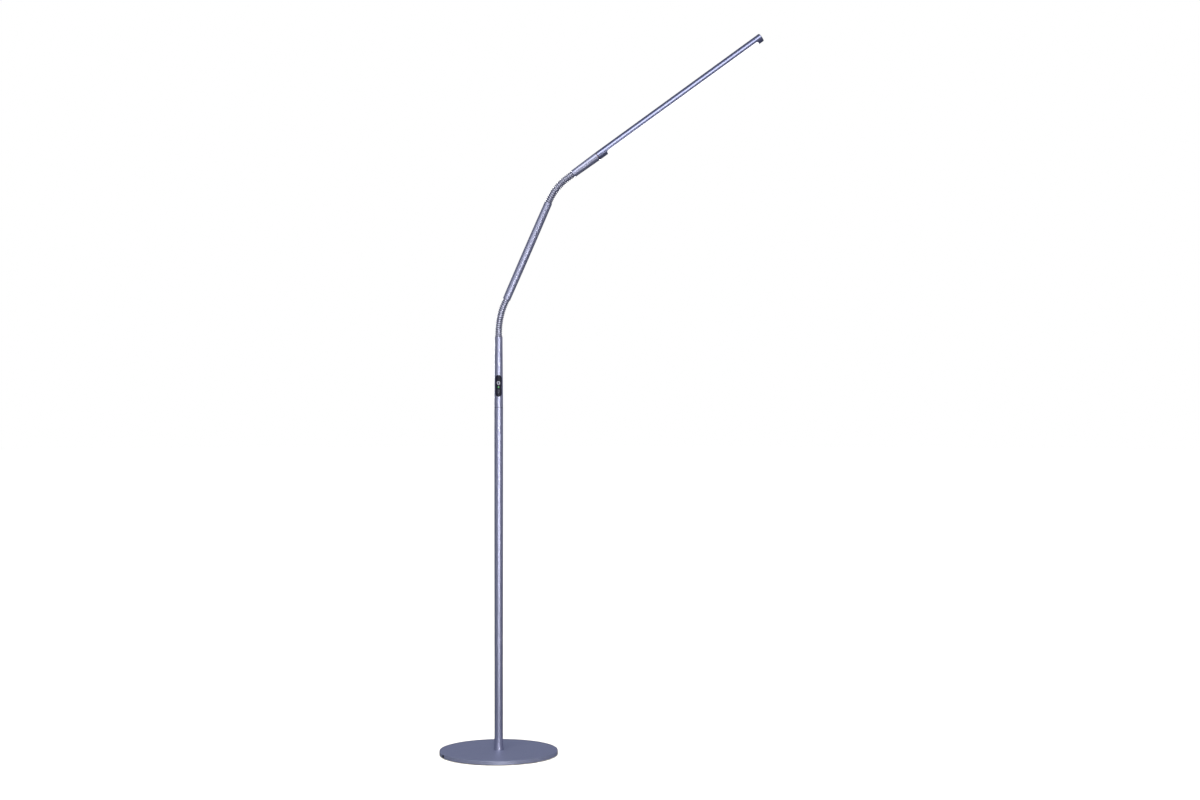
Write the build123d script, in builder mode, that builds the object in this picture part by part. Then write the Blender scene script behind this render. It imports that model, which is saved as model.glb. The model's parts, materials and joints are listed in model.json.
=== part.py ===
from build123d import *
import math
import os

# Gooseneck reading floor lamp. Millimetres and degrees, +Z up.
# Origin: centre of the base's underside. The arm and head lean towards +X and the
# control panel faces -Y. Every tube axis lies in the plane Y = 0.

# ---------------------------------------------------------------- driving dimensions

# Base
base_diameter = 246.0
plate_thickness = 8.0
plate_edge_radius = 1.0
pad_thickness = 1.4
pad_inset = 4.0

# Low-voltage supply inlet in the rim of the base
inlet_direction = 205.0
inlet_width = 9.0
inlet_height = 6.5
inlet_depth = 13.0
inlet_corner_radius = 1.2
inlet_setback = 0.3
plug_bore_diameter = 5.6
plug_bore_depth = 9.5
contact_pin_diameter = 2.0
contact_pin_setback = 1.0
contact_pin_root = 2.0
contact_pin_chamfer = 0.3
lead_diameter = 3.0
lead_bend_radius = 5.0

# Lower pole and how it stands on the base
pole_diameter = 18.0
tube_wall = 1.0
pole_length = 711.6
tube_end_chamfer = 0.25
stud_diameter = 12.0
stud_wall = 2.0
stud_flange_width = 4.0
stud_flange_thickness = 2.0
stud_height = 20.0
stud_end_chamfer = 0.5
foot_length = 28.0
collar_flare = 1.6
collar_lip = 0.4
collar_height = 13.0
collar_foot_height = 1.0
spigot_wall = 2.5
spigot_depth_below = 40.0
spigot_depth_above = 18.0

# Control tube, which tapers from the pole to the neck
control_tube_length = 148.0
neck_end_diameter = 15.8
tube_end_radius = 0.5

# Control panel in the control tube
panel_height = 45.3
panel_length = 45.0
panel_width = 13.2
panel_proud = 0.6
panel_lip = 1.2
panel_wall = 1.0
panel_floor_depth = 7.2
panel_tub_depth = 5.6
power_button_place = 6.0
power_button_diameter = 4.6
power_ring_width = 1.1
power_ring_depth = 8.2
power_ring_proud = 0.1
indicator_place = -2.6
indicator_diameter = 2.6
indicator_proud = 0.25
dimmer_place = -11.3
dimmer_width = 7.2
dimmer_height = 9.4
button_proud = 0.5
button_travel = 0.6
button_shoulder_width = 0.5
button_shoulder_thickness = 0.7
button_pip_diameter = 1.8
button_pip_entry = 0.4
board_length = 40.0
board_width = 8.4
board_thickness = 1.2
board_post_place = 18.0
board_post_diameter = 2.4
board_pin_diameter = 1.5
board_pin_rise = 0.6
switch_size = 4.4
switch_thickness = 1.4
switch_bore_diameter = 2.4
connector_place = 13.5
connector_width = 5.0
connector_height = 4.0
connector_past_lead = 0.3

# Stay-put necks: ribbed links that swing on each other, alternately up and down and
# from side to side, between two ferrules whose own ribs stand still
neck_diameter = 14.5
rib_pitch = 4.4
ribs_per_neck = 18
links_per_neck = 13
rib_crown = 0.95
link_limit = 10.0
side_limit = 6.0
ball_diameter = 11.2
ball_reach = 1.6
neck_bore_diameter = 9.2
ferrule_depth = 18.0
lower_neck_still_ribs = 3
lower_neck_bend = 23.5
upper_neck_still_ribs = 2
upper_neck_bend = 30.5

# Arm tube between the necks
arm_length = 220.0
arm_swell = 1.0

# Head socket and swivel
socket_length = 63.0
head_diameter = 18.0
swivel_gap = 1.4
washer_thickness = 1.0
washer_setback = 0.4
stem_diameter = 10.0
stem_wall = 2.0
stem_flange_length = 8.0
bush_length = 16.0
stem_nut_thickness = 3.0
stem_nut_width = 1.5

# Head
head_length = 420.5
head_wall = 1.2
housing_depth = 12.3
window_start = 20.0
window_end_margin = 12.0
window_corner_radius = 4.5
web_thickness = 1.2
web_depth = 10.5
tip_cap_thickness = 1.8
tip_cap_edge_radius = 1.2
tip_cap_spigot_length = 6.0
diffuser_setback = 0.4
diffuser_wall = 1.0
diffuser_end_wall = 5.0
diffuser_lip_width = 0.95
diffuser_lip_inset = 6.0
led_board_width = 11.0
led_board_thickness = 1.0
led_board_end_margin = 8.0
led_chip_count = 40
led_chip_length = 3.5
led_chip_width = 2.8
led_chip_height = 0.8

# Clearances
seat_clearance = 0.05
pocket_clearance = 0.1
panel_clearance = 0.15
running_clearance = 0.05
nut_clearance = 0.4
button_clearance = 0.1
switch_clearance = 0.25
ball_clearance = 0.2
rib_clearance = 0.12
swing_clearance = 0.15
lead_clearance = 0.4

# ---------------------------------------------------------------- derived sizes

base_radius = base_diameter / 2
plate_top = pad_thickness + plate_thickness
pole_radius = pole_diameter / 2
pole_bore_radius = pole_radius - tube_wall
seam_height = plate_top + pole_length
neck_end_radius = neck_end_diameter / 2
neck_end_bore_radius = neck_end_radius - tube_wall
control_top = seam_height + control_tube_length
panel_centre = seam_height + panel_height

lead_radius = lead_diameter / 2
lead_height = pad_thickness + lead_clearance + lead_radius
stud_flange_base = lead_height + lead_radius + lead_clearance
stud_flange_top = stud_flange_base + stud_flange_thickness
stud_radius = stud_diameter / 2
stud_bore_radius = stud_radius - stud_wall
stud_flange_radius = stud_radius + stud_flange_width

neck_radius = neck_diameter / 2
rib_face_radius = neck_radius - rib_crown
neck_bore_radius = neck_bore_diameter / 2
ball_radius = ball_diameter / 2
ball_socket_radius = ball_radius + ball_clearance
ball_top_radius = math.sqrt(ball_radius**2 - ball_reach**2)
limit_angle = math.radians(max(link_limit, side_limit))
rib_gap = 2 * rib_face_radius * math.tan(limit_angle / 2) + rib_clearance
ball_socket_depth = (
    ball_reach * math.cos(limit_angle) + ball_top_radius * math.sin(limit_angle) + swing_clearance
)
ferrule_radius = neck_end_bore_radius - seat_clearance
bending_pivots = (links_per_neck + 1) // 2

stem_radius = stem_diameter / 2
bush_bore_radius = stem_radius + running_clearance
head_radius = head_diameter / 2
head_bore_radius = head_radius - head_wall
housing_length = head_length - tip_cap_thickness
window_end = head_length - window_end_margin
window_floor = housing_depth - head_radius
web_floor = web_depth - head_radius

# ---------------------------------------------------------------- places along the lamp


def heading(angle):
    """Unit vector in the lamp's plane, at an angle up from +X."""
    return Vector(math.cos(math.radians(angle)), 0, math.sin(math.radians(angle)))


def along(point, angle):
    """Plane through a tube's axis: local X is the radius, local Y runs along the tube."""
    return Plane(origin=point, x_dir=heading(angle - 90), z_dir=(0, -1, 0))


def across(point, angle):
    """Plane square to a tube's axis: local X is +Y, local Y is the tube's upper side."""
    return Plane(origin=point, x_dir=(0, 1, 0), z_dir=heading(angle))


def neck_links(start, angle, bend, still_ribs):
    """Pivot below each moving link with the heading above it, and the pivot past the last."""
    places = []
    point = start + heading(angle) * still_ribs * rib_pitch
    for number in range(1, links_per_neck + 2):
        if number % 2 == 1:
            angle -= bend / bending_pivots
        places.append((point, angle))
        point = point + heading(angle) * rib_pitch
    return places


def neck_end(links, still_ribs):
    """Where a neck's upper ferrule meets its tube."""
    last_pivot, angle = links[-1]
    return last_pivot + heading(angle) * (ribs_per_neck - links_per_neck - still_ribs) * rib_pitch


upright = 90.0
arm_angle = upright - lower_neck_bend
head_angle = arm_angle - upper_neck_bend

lower_neck_start = Vector(0, 0, control_top)
lower_links = neck_links(lower_neck_start, upright, lower_neck_bend, lower_neck_still_ribs)
arm_start = neck_end(lower_links, lower_neck_still_ribs)
arm_end = arm_start + heading(arm_angle) * arm_length
upper_links = neck_links(arm_end, arm_angle, upper_neck_bend, upper_neck_still_ribs)
socket_start = neck_end(upper_links, upper_neck_still_ribs)
seam_point = socket_start + heading(head_angle) * socket_length
head_start = seam_point + heading(head_angle) * swivel_gap

panel_plane = Plane(origin=(0, 0, panel_centre), x_dir=(1, 0, 0), z_dir=(0, -1, 0))
inlet_cos = math.cos(math.radians(inlet_direction))
inlet_sin = math.sin(math.radians(inlet_direction))
inlet_face = base_radius - inlet_setback
inlet_plane = Plane(
    origin=(inlet_face * inlet_cos, inlet_face * inlet_sin, pad_thickness),
    x_dir=(-inlet_sin, inlet_cos, 0),
    z_dir=(inlet_cos, inlet_sin, 0),
)

# ---------------------------------------------------------------- shared shapes

os.makedirs("parts", exist_ok=True)


def save(part, name):
    """Label one finished piece and write it to its own file."""
    part.label = name
    export_step(part, f"parts/{name}.step")


def draw_wall(inner, outer, low, high, mode=Mode.ADD):
    """Rectangle of a half-section, between two radii and two stations."""
    with BuildLine() as outline:
        Polyline((inner, low), (outer, low), (outer, high), (inner, high), close=True)
    make_face(outline.edges(), mode=mode)


def draw_ribs(first, count):
    """Half-section of ribs with rounded crests, the first one's lower pivot at a station."""
    for rib in range(count):
        low = first + rib * rib_pitch + rib_gap / 2
        high = first + (rib + 1) * rib_pitch - rib_gap / 2
        with BuildLine() as outline:
            ThreePointArc(
                (rib_face_radius, low), (neck_radius, (low + high) / 2), (rib_face_radius, high)
            )
            Polyline(
                (rib_face_radius, high),
                (neck_bore_radius, high),
                (neck_bore_radius, low),
                (rib_face_radius, low),
            )
        make_face(outline.edges())


def draw_ball(pivot):
    """Half-section of the ball skirt round a pivot, which fills the gap to the next rib."""
    foot = pivot - rib_gap / 2
    foot_radius = math.sqrt(ball_radius**2 - (rib_gap / 2) ** 2)
    top = pivot + ball_reach
    with BuildLine() as outline:
        ThreePointArc((foot_radius, foot), (ball_radius, pivot), (ball_top_radius, top))
        Polyline(
            (ball_top_radius, top),
            (neck_bore_radius, top),
            (neck_bore_radius, foot),
            (foot_radius, foot),
        )
    make_face(outline.edges())


def draw_ball_socket(pivot):
    """Cut the room that the ball below a pivot swings in."""
    draw_wall(0, ball_socket_radius, pivot, pivot + ball_socket_depth, mode=Mode.SUBTRACT)


def lower_ferrule(name, start, angle, still_ribs):
    """Ferrule at a neck's lower end: a shank in its tube, still ribs, then the first ball."""
    last = still_ribs * rib_pitch
    with BuildPart() as ferrule:
        with BuildSketch(along(start, angle)):
            draw_wall(neck_bore_radius, ferrule_radius, -ferrule_depth, 0)
            draw_wall(neck_bore_radius, ball_radius, 0, last - rib_gap)
            draw_ribs(0, still_ribs)
            draw_ball(last)
        revolve(axis=Axis(start, heading(angle)))
    save(ferrule.part, name)


def upper_ferrule(name, end, angle, still_ribs):
    """Ferrule at a neck's upper end: still ribs, the first one hollowed, then a shank."""
    first = -still_ribs * rib_pitch
    with BuildPart() as ferrule:
        with BuildSketch(along(end, angle)):
            draw_wall(neck_bore_radius, ferrule_radius, 0, ferrule_depth)
            draw_wall(neck_bore_radius, ball_radius, first + rib_gap, 0)
            draw_ribs(first, still_ribs)
            draw_ball_socket(first)
        revolve(axis=Axis(end, heading(angle)))
    save(ferrule.part, name)


def neck(name, links):
    """The moving links of one neck, each hollowed below for the ball of the one before."""
    for number, (pivot, angle) in enumerate(links[:-1], start=1):
        with BuildPart() as link:
            with BuildSketch(along(pivot, angle)):
                draw_ribs(0, 1)
                draw_ball(rib_pitch)
                draw_ball_socket(0)
            revolve(axis=Axis(pivot, heading(angle)))
        save(link.part, f"{name}_link_{number:02d}")


# ---------------------------------------------------------------- base


def inlet_outline(margin):
    """Outline of the inlet's housing, seen from outside the rim, with rounded top corners."""
    with BuildSketch(inlet_plane) as outline:
        Rectangle(
            inlet_width + 2 * margin, inlet_height + margin, align=(Align.CENTER, Align.MIN)
        )
        fillet(outline.vertices().group_by(Axis.Y)[-1], inlet_corner_radius)
    return outline.sketch


with BuildPart() as base_pad:
    with BuildSketch():
        Circle(base_radius - pad_inset)
    extrude(amount=pad_thickness)
save(base_pad.part, "base_pad")

with BuildPart() as base_plate:
    with BuildSketch(Plane.XY.offset(pad_thickness)):
        Circle(base_radius)
    extrude(amount=plate_thickness)
    fillet(base_plate.edges().group_by(Axis.Z)[-1], plate_edge_radius)
    # recess for the stud's flange, and the stud's hole
    with BuildSketch(Plane.XY.offset(pad_thickness)):
        Circle(stud_flange_radius + pocket_clearance)
    extrude(amount=stud_flange_top - pad_thickness, mode=Mode.SUBTRACT)
    with BuildSketch(Plane.XY.offset(plate_top)):
        Circle(stud_radius + seat_clearance)
    extrude(amount=-plate_thickness, mode=Mode.SUBTRACT)
    # pocket for the inlet, open at the rim and below
    pocket_outline = inlet_outline(pocket_clearance)
    extrude(pocket_outline, amount=inlet_setback + plate_edge_radius, mode=Mode.SUBTRACT)
    extrude(pocket_outline, amount=-inlet_depth - pocket_clearance, mode=Mode.SUBTRACT)
    # groove for the lead, from the pocket to the stud's recess
    with BuildSketch(inlet_plane):
        Rectangle(
            lead_diameter + 2 * lead_clearance,
            stud_flange_base - pad_thickness,
            align=(Align.CENTER, Align.MIN),
        )
    extrude(amount=-inlet_face, mode=Mode.SUBTRACT)
save(base_plate.part, "base_plate")

inlet_bore_plane = Plane(
    origin=inlet_plane.origin + Vector(0, 0, inlet_height / 2),
    x_dir=inlet_plane.x_dir,
    z_dir=inlet_plane.z_dir,
)

with BuildPart() as dc_inlet:
    extrude(inlet_outline(0), amount=-inlet_depth)
    with BuildSketch(inlet_bore_plane):
        Circle(plug_bore_diameter / 2)
    extrude(amount=-plug_bore_depth, mode=Mode.SUBTRACT)
    with BuildSketch(inlet_bore_plane.offset(-plug_bore_depth)):
        Circle(contact_pin_diameter / 2)
    extrude(amount=-contact_pin_root, mode=Mode.SUBTRACT)
save(dc_inlet.part, "dc_inlet")

with BuildPart() as dc_contact_pin:
    with BuildSketch(inlet_bore_plane.offset(-contact_pin_setback)):
        Circle(contact_pin_diameter / 2)
    extrude(amount=-(plug_bore_depth + contact_pin_root - contact_pin_setback))
    chamfer(
        dc_contact_pin.faces().sort_by(Axis((0, 0, 0), (inlet_cos, inlet_sin, 0)))[-1].edges(),
        contact_pin_chamfer,
    )
save(dc_contact_pin.part, "dc_contact_pin")

# ---------------------------------------------------------------- pole

with BuildPart() as pole_stud:
    with BuildSketch(Plane.XZ):
        draw_wall(stud_bore_radius, stud_flange_radius, stud_flange_base, stud_flange_top)
        draw_wall(stud_bore_radius, stud_radius, stud_flange_top, plate_top + stud_height)
    revolve(axis=Axis.Z)
    chamfer(pole_stud.edges().group_by(Axis.Z)[-1], stud_end_chamfer)
save(pole_stud.part, "pole_stud")

with BuildPart() as pole_foot:
    with BuildSketch(Plane.XZ):
        draw_wall(
            stud_radius + seat_clearance,
            pole_bore_radius - seat_clearance,
            plate_top,
            plate_top + foot_length,
        )
    revolve(axis=Axis.Z)
save(pole_foot.part, "pole_foot")

with BuildPart() as lower_pole:
    with BuildSketch(Plane.XY.offset(plate_top)):
        Circle(pole_radius)
        Circle(pole_bore_radius, mode=Mode.SUBTRACT)
    extrude(amount=pole_length)
    chamfer(lower_pole.edges().group_by(Axis.Z)[-1].sort_by(SortBy.LENGTH)[-1], tube_end_chamfer)
save(lower_pole.part, "lower_pole")

# flared trim ring at the pole's foot
collar_inner = pole_radius + seat_clearance
collar_top = (collar_inner + collar_lip, plate_top + collar_height)
collar_foot = (pole_radius + collar_flare, plate_top + collar_foot_height)
with BuildPart() as pole_collar:
    with BuildSketch(Plane.XZ):
        with BuildLine():
            Polyline(
                collar_top,
                (collar_inner, collar_top[1]),
                (collar_inner, plate_top),
                (collar_foot[0], plate_top),
                collar_foot,
            )
            TangentArc(collar_top, collar_foot, tangent=(0, -1))
        make_face()
    revolve(axis=Axis.Z)
save(pole_collar.part, "pole_collar")


def control_tube_radius(height):
    """Outer radius of the tapering control tube at a height."""
    share = (height - seam_height) / control_tube_length
    return pole_radius + (neck_end_radius - pole_radius) * share


spigot_bore_radius = pole_bore_radius - seat_clearance - spigot_wall
spigot_base = seam_height - spigot_depth_below
spigot_top = seam_height + spigot_depth_above
spigot_top_radius = control_tube_radius(spigot_top) - tube_wall - seat_clearance
with BuildPart() as pole_spigot:
    with BuildSketch(Plane.XZ):
        with BuildLine():
            Polyline(
                (spigot_bore_radius, spigot_base),
                (pole_bore_radius - seat_clearance, spigot_base),
                (pole_bore_radius - seat_clearance, seam_height),
                (spigot_top_radius, spigot_top),
                (spigot_bore_radius, spigot_top),
                close=True,
            )
        make_face()
    revolve(axis=Axis.Z)
save(pole_spigot.part, "pole_spigot")

# ---------------------------------------------------------------- control tube and panel


def tube_envelope(proud):
    """Half-section of the control tube's outside, filled in and enlarged by a little."""
    with BuildSketch(Plane.XZ) as half_section:
        with BuildLine():
            Polyline(
                (0, seam_height),
                (pole_radius + proud, seam_height),
                (neck_end_radius + proud, control_top),
                (0, control_top),
                close=True,
            )
        make_face()
    return half_section.sketch


def pill(inset, depth=0.0):
    """Pill outline of the panel, drawn smaller by an inset, at a depth in front of the axis."""
    with BuildSketch(panel_plane.offset(depth)) as outline:
        SlotOverall(panel_length - 2 * inset, panel_width - 2 * inset, rotation=90)
    return outline.sketch


# a depth from the axis that is past everything on the panel's side
panel_reach = pole_diameter
tub_inset = panel_lip + panel_clearance

# from the back of the panel's face inwards: button shoulder, its travel, switch, board
shoulder_back = panel_floor_depth - seat_clearance - button_shoulder_thickness
switch_front = shoulder_back - button_travel - switch_clearance
board_depth = switch_front - switch_thickness
pip_end = switch_front - button_pip_entry

with BuildPart() as control_tube:
    with BuildSketch(Plane.XZ) as tube_section:
        with BuildLine():
            Polyline(
                (pole_bore_radius, seam_height),
                (pole_radius, seam_height),
                (neck_end_radius, control_top),
                (neck_end_bore_radius, control_top),
                close=True,
            )
        make_face()
        seam_corner = tube_section.vertices().group_by(Axis.Y)[0].sort_by(Axis.X)[-1]
        neck_corner = tube_section.vertices().group_by(Axis.Y)[-1].sort_by(Axis.X)[-1]
        chamfer(seam_corner, tube_end_chamfer)
        fillet(neck_corner, tube_end_radius)
    revolve(axis=Axis.Z)
    extrude(pill(panel_lip), amount=panel_reach, mode=Mode.SUBTRACT)
save(control_tube.part, "control_tube")

with BuildPart() as control_panel:
    # face plate that lies on the tube, and the tub that drops into its cut-out
    extrude(pill(0), amount=panel_reach)
    revolve(tube_envelope(0), axis=Axis.Z, mode=Mode.SUBTRACT)
    extrude(pill(tub_inset, panel_tub_depth), amount=panel_reach - panel_tub_depth)
    revolve(tube_envelope(panel_proud), axis=Axis.Z, mode=Mode.INTERSECT)
    extrude(
        pill(tub_inset + panel_wall, panel_tub_depth),
        amount=panel_floor_depth - panel_tub_depth,
        mode=Mode.SUBTRACT,
    )
    # posts that carry the board, with a pin through it
    with BuildSketch(panel_plane.offset(board_depth)):
        with Locations((0, board_post_place), (0, -board_post_place)):
            Circle(board_post_diameter / 2)
    extrude(amount=panel_floor_depth - board_depth)
    with BuildSketch(panel_plane.offset(board_depth)):
        with Locations((0, board_post_place), (0, -board_post_place)):
            Circle(board_pin_diameter / 2)
    extrude(amount=-board_thickness - board_pin_rise)
    # holes for the buttons and the indicator, and the seat of the light ring
    with BuildSketch(panel_plane.offset(board_depth)):
        with Locations((0, power_button_place)):
            Circle(power_button_diameter / 2 + button_clearance)
        with Locations((0, indicator_place)):
            Circle(indicator_diameter / 2 + seat_clearance)
        with Locations((0, dimmer_place)):
            Ellipse(dimmer_width / 2 + button_clearance, dimmer_height / 2 + button_clearance)
    extrude(amount=panel_reach, mode=Mode.SUBTRACT)
    with BuildSketch(panel_plane.offset(power_ring_depth)):
        with Locations((0, power_button_place)):
            Circle(power_button_diameter / 2 + power_ring_width + seat_clearance)
    extrude(amount=panel_reach, mode=Mode.SUBTRACT)
save(control_panel.part, "control_panel")

with BuildPart() as power_ring:
    with BuildSketch(panel_plane.offset(power_ring_depth)):
        with Locations((0, power_button_place)):
            Circle(power_button_diameter / 2 + power_ring_width)
            Circle(power_button_diameter / 2 + button_clearance, mode=Mode.SUBTRACT)
    extrude(amount=panel_reach)
    revolve(tube_envelope(panel_proud + power_ring_proud), axis=Axis.Z, mode=Mode.INTERSECT)
save(power_ring.part, "power_ring")

with BuildPart() as indicator_lens:
    with BuildSketch(panel_plane.offset(board_depth)):
        with Locations((0, indicator_place)):
            Circle(indicator_diameter / 2)
    extrude(amount=panel_reach)
    revolve(tube_envelope(panel_proud + indicator_proud), axis=Axis.Z, mode=Mode.INTERSECT)
save(indicator_lens.part, "indicator_lens")


def button_oval(place, width, height, depth):
    """Oval button outline at a depth in front of the tube's axis."""
    with BuildSketch(panel_plane.offset(depth)) as outline:
        with Locations((0, place)):
            Ellipse(width / 2, height / 2)
    return outline.sketch


def make_button(name, place, width, height):
    """A cap that stands out of the panel, a shoulder behind it and a pip in its switch."""
    with BuildPart() as button:
        extrude(button_oval(place, width, height, shoulder_back), amount=panel_reach)
        revolve(tube_envelope(panel_proud + button_proud), axis=Axis.Z, mode=Mode.INTERSECT)
        shoulder_width = width + 2 * button_shoulder_width
        shoulder_height = height + 2 * button_shoulder_width
        shoulder = button_oval(place, shoulder_width, shoulder_height, shoulder_back)
        extrude(shoulder, amount=button_shoulder_thickness)
        pip = button_oval(place, button_pip_diameter, button_pip_diameter, pip_end)
        extrude(pip, amount=shoulder_back - pip_end)
    save(button.part, name)


make_button("power_button", power_button_place, power_button_diameter, power_button_diameter)
make_button("dimmer_button", dimmer_place, dimmer_width, dimmer_height)

board_back = board_depth - board_thickness
connector_depth = board_back + lead_radius + connector_past_lead

with BuildPart() as control_board:
    with BuildSketch(panel_plane.offset(board_back)):
        SlotOverall(board_length, board_width, rotation=90)
        with Locations((0, board_post_place), (0, -board_post_place)):
            Circle(board_pin_diameter / 2 + seat_clearance, mode=Mode.SUBTRACT)
    extrude(amount=board_thickness)
    with BuildSketch(panel_plane.offset(board_back)):
        with Locations((0, connector_place), (0, -connector_place)):
            Rectangle(connector_width, connector_height)
    extrude(amount=-connector_depth)
save(control_board.part, "control_board")

with BuildPart() as tact_switches:
    with BuildSketch(panel_plane.offset(board_depth)):
        with Locations((0, power_button_place), (0, dimmer_place)):
            Rectangle(switch_size, switch_size)
            Circle(switch_bore_diameter / 2, mode=Mode.SUBTRACT)
    extrude(amount=switch_thickness)
save(tact_switches.part, "tact_switches")

# supply lead: along the groove, up the stud and the pole to the board's lower connector;
# lamp lead: from the upper connector into the neck's ferrule
lead_start = inlet_face - inlet_depth
supply_corner = Vector(0, 0, lead_height)
supply_route = [
    Vector(lead_start * inlet_cos, lead_start * inlet_sin, lead_height),
    supply_corner,
    Vector(0, 0, panel_centre - connector_place - connector_height / 2),
]
lamp_lead_start = panel_centre + connector_place + connector_height / 2
with BuildPart() as pole_leads:
    with BuildLine() as supply_line:
        FilletPolyline(*supply_route, radius=[lead_bend_radius])
    with BuildSketch(Plane(origin=supply_route[0], z_dir=(-inlet_cos, -inlet_sin, 0))):
        Circle(lead_radius)
    sweep(path=supply_line.wire())
    with BuildSketch(Plane.XY.offset(lamp_lead_start)):
        Circle(lead_radius)
    extrude(amount=control_top + lower_neck_still_ribs * rib_pitch - lamp_lead_start)
save(pole_leads.part, "pole_leads")

# ---------------------------------------------------------------- necks and arm

lower_ferrule("lower_neck_ferrule", lower_neck_start, upright, lower_neck_still_ribs)
neck("lower_neck", lower_links)

lower_neck_top_ribs = ribs_per_neck - links_per_neck - lower_neck_still_ribs
upper_ferrule("arm_lower_ferrule", arm_start, arm_angle, lower_neck_top_ribs)

arm_middle_radius = neck_end_radius + arm_swell / 2
with BuildPart() as arm_tube:
    with BuildSketch(along(arm_start, arm_angle)) as arm_section:
        with BuildLine():
            ThreePointArc(
                (neck_end_radius, 0), (arm_middle_radius, arm_length / 2), (neck_end_radius, arm_length)
            )
            Line((neck_end_radius, arm_length), (neck_end_bore_radius, arm_length))
            ThreePointArc(
                (neck_end_bore_radius, arm_length),
                (arm_middle_radius - tube_wall, arm_length / 2),
                (neck_end_bore_radius, 0),
            )
            Line((neck_end_bore_radius, 0), (neck_end_radius, 0))
        make_face()
        fillet(arm_section.vertices().group_by(Axis.X)[-1], tube_end_radius)
    revolve(axis=Axis(arm_start, heading(arm_angle)))
save(arm_tube.part, "arm_tube")

lower_ferrule("arm_upper_ferrule", arm_end, arm_angle, upper_neck_still_ribs)

# the lead through the arm lies on the lower side of both ferrules' bores
arm_lead_start = lower_neck_top_ribs * rib_pitch - ball_socket_depth
arm_lead_end = upper_neck_still_ribs * rib_pitch
arm_lead_offset = neck_bore_radius - lead_radius - seat_clearance
arm_lead_point = (
    arm_start - heading(arm_angle) * arm_lead_start + heading(arm_angle - 90) * arm_lead_offset
)
with BuildPart() as arm_lead:
    with BuildSketch(across(arm_lead_point, arm_angle)):
        Circle(lead_radius)
    extrude(amount=arm_lead_start + arm_length + arm_lead_end)
save(arm_lead.part, "arm_lead")

neck("upper_neck", upper_links)

# ---------------------------------------------------------------- head socket and swivel

upper_neck_top_ribs = ribs_per_neck - links_per_neck - upper_neck_still_ribs
upper_ferrule("socket_ferrule", socket_start, head_angle, upper_neck_top_ribs)

socket_axis = Axis(socket_start, heading(head_angle))
with BuildPart() as head_socket:
    with BuildSketch(along(socket_start, head_angle)) as socket_section:
        with BuildLine():
            Polyline(
                (neck_end_bore_radius, 0),
                (neck_end_radius, 0),
                (head_radius, socket_length),
                (neck_end_bore_radius, socket_length),
                close=True,
            )
        make_face()
        outer_corners = socket_section.vertices().sort_by(Axis.X)[-2:]
        fillet(outer_corners[0], tube_end_radius)
        chamfer(outer_corners[1], tube_end_chamfer)
    revolve(axis=socket_axis)
save(head_socket.part, "head_socket")

with BuildPart() as swivel_bush:
    with BuildSketch(along(seam_point, head_angle)):
        draw_wall(bush_bore_radius, ferrule_radius, -bush_length, 0)
    revolve(axis=socket_axis)
save(swivel_bush.part, "swivel_bush")

with BuildPart() as swivel_washer:
    with BuildSketch(along(seam_point, head_angle)):
        draw_wall(bush_bore_radius, head_radius - washer_setback, 0, washer_thickness)
    revolve(axis=socket_axis)
save(swivel_washer.part, "swivel_washer")

stem_foot = -(swivel_gap + bush_length + nut_clearance + stem_nut_thickness)
with BuildPart() as swivel_stem:
    with BuildSketch(along(head_start, head_angle)):
        draw_wall(stem_radius - stem_wall, stem_radius, stem_foot, 0)
        draw_wall(
            stem_radius - stem_wall, head_bore_radius - seat_clearance, 0, stem_flange_length
        )
    revolve(axis=socket_axis)
save(swivel_stem.part, "swivel_stem")

with BuildPart() as stem_nut:
    with BuildSketch(along(head_start, head_angle)):
        draw_wall(
            stem_radius, stem_radius + stem_nut_width, stem_foot, stem_foot + stem_nut_thickness
        )
    revolve(axis=socket_axis)
save(stem_nut.part, "stem_nut")

# ---------------------------------------------------------------- head

head_across = across(head_start, head_angle)
head_along = along(head_start, head_angle)


def light_window(margin):
    """Side view of the light window below the housing, drawn smaller by a margin."""
    with BuildSketch(head_along) as outline:
        with Locations((window_floor + margin, window_start + margin)):
            Rectangle(
                head_diameter, window_end - window_start - 2 * margin, align=(Align.MIN, Align.MIN)
            )
        fillet(outline.vertices().group_by(Axis.X)[0], window_corner_radius - margin)
    return outline.sketch


with BuildPart() as head_housing:
    # extruded profile: a round tube with a web that carries the light board
    with BuildSketch(head_across):
        Circle(head_radius)
        Circle(head_bore_radius, mode=Mode.SUBTRACT)
        with Locations((0, -web_floor)):
            Rectangle(
                head_bore_radius + head_radius, web_thickness, align=(Align.CENTER, Align.MIN)
            )
    extrude(amount=housing_length)
    root_face = head_housing.faces().sort_by(socket_axis)[0]
    chamfer(root_face.outer_wire().edges(), tube_end_chamfer)
    # the web stops short of the swivel's flange and of the tip cap's spigot
    with BuildSketch(head_across):
        Circle(head_bore_radius)
    extrude(amount=stem_flange_length + seat_clearance, mode=Mode.SUBTRACT)
    with BuildSketch(head_across.offset(housing_length)):
        Circle(head_bore_radius)
    extrude(amount=-tip_cap_spigot_length - seat_clearance, mode=Mode.SUBTRACT)
    extrude(light_window(0), amount=head_diameter, both=True, mode=Mode.SUBTRACT)
save(head_housing.part, "head_housing")

with BuildPart() as head_tip_cap:
    with BuildSketch(head_across.offset(housing_length)):
        Circle(head_radius)
    extrude(amount=tip_cap_thickness)
    fillet(head_tip_cap.edges().sort_by(socket_axis)[-1], tip_cap_edge_radius)
    with BuildSketch(head_across.offset(housing_length)):
        Circle(head_bore_radius - seat_clearance)
    extrude(amount=-tip_cap_spigot_length)
save(head_tip_cap.part, "head_tip_cap")

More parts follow.
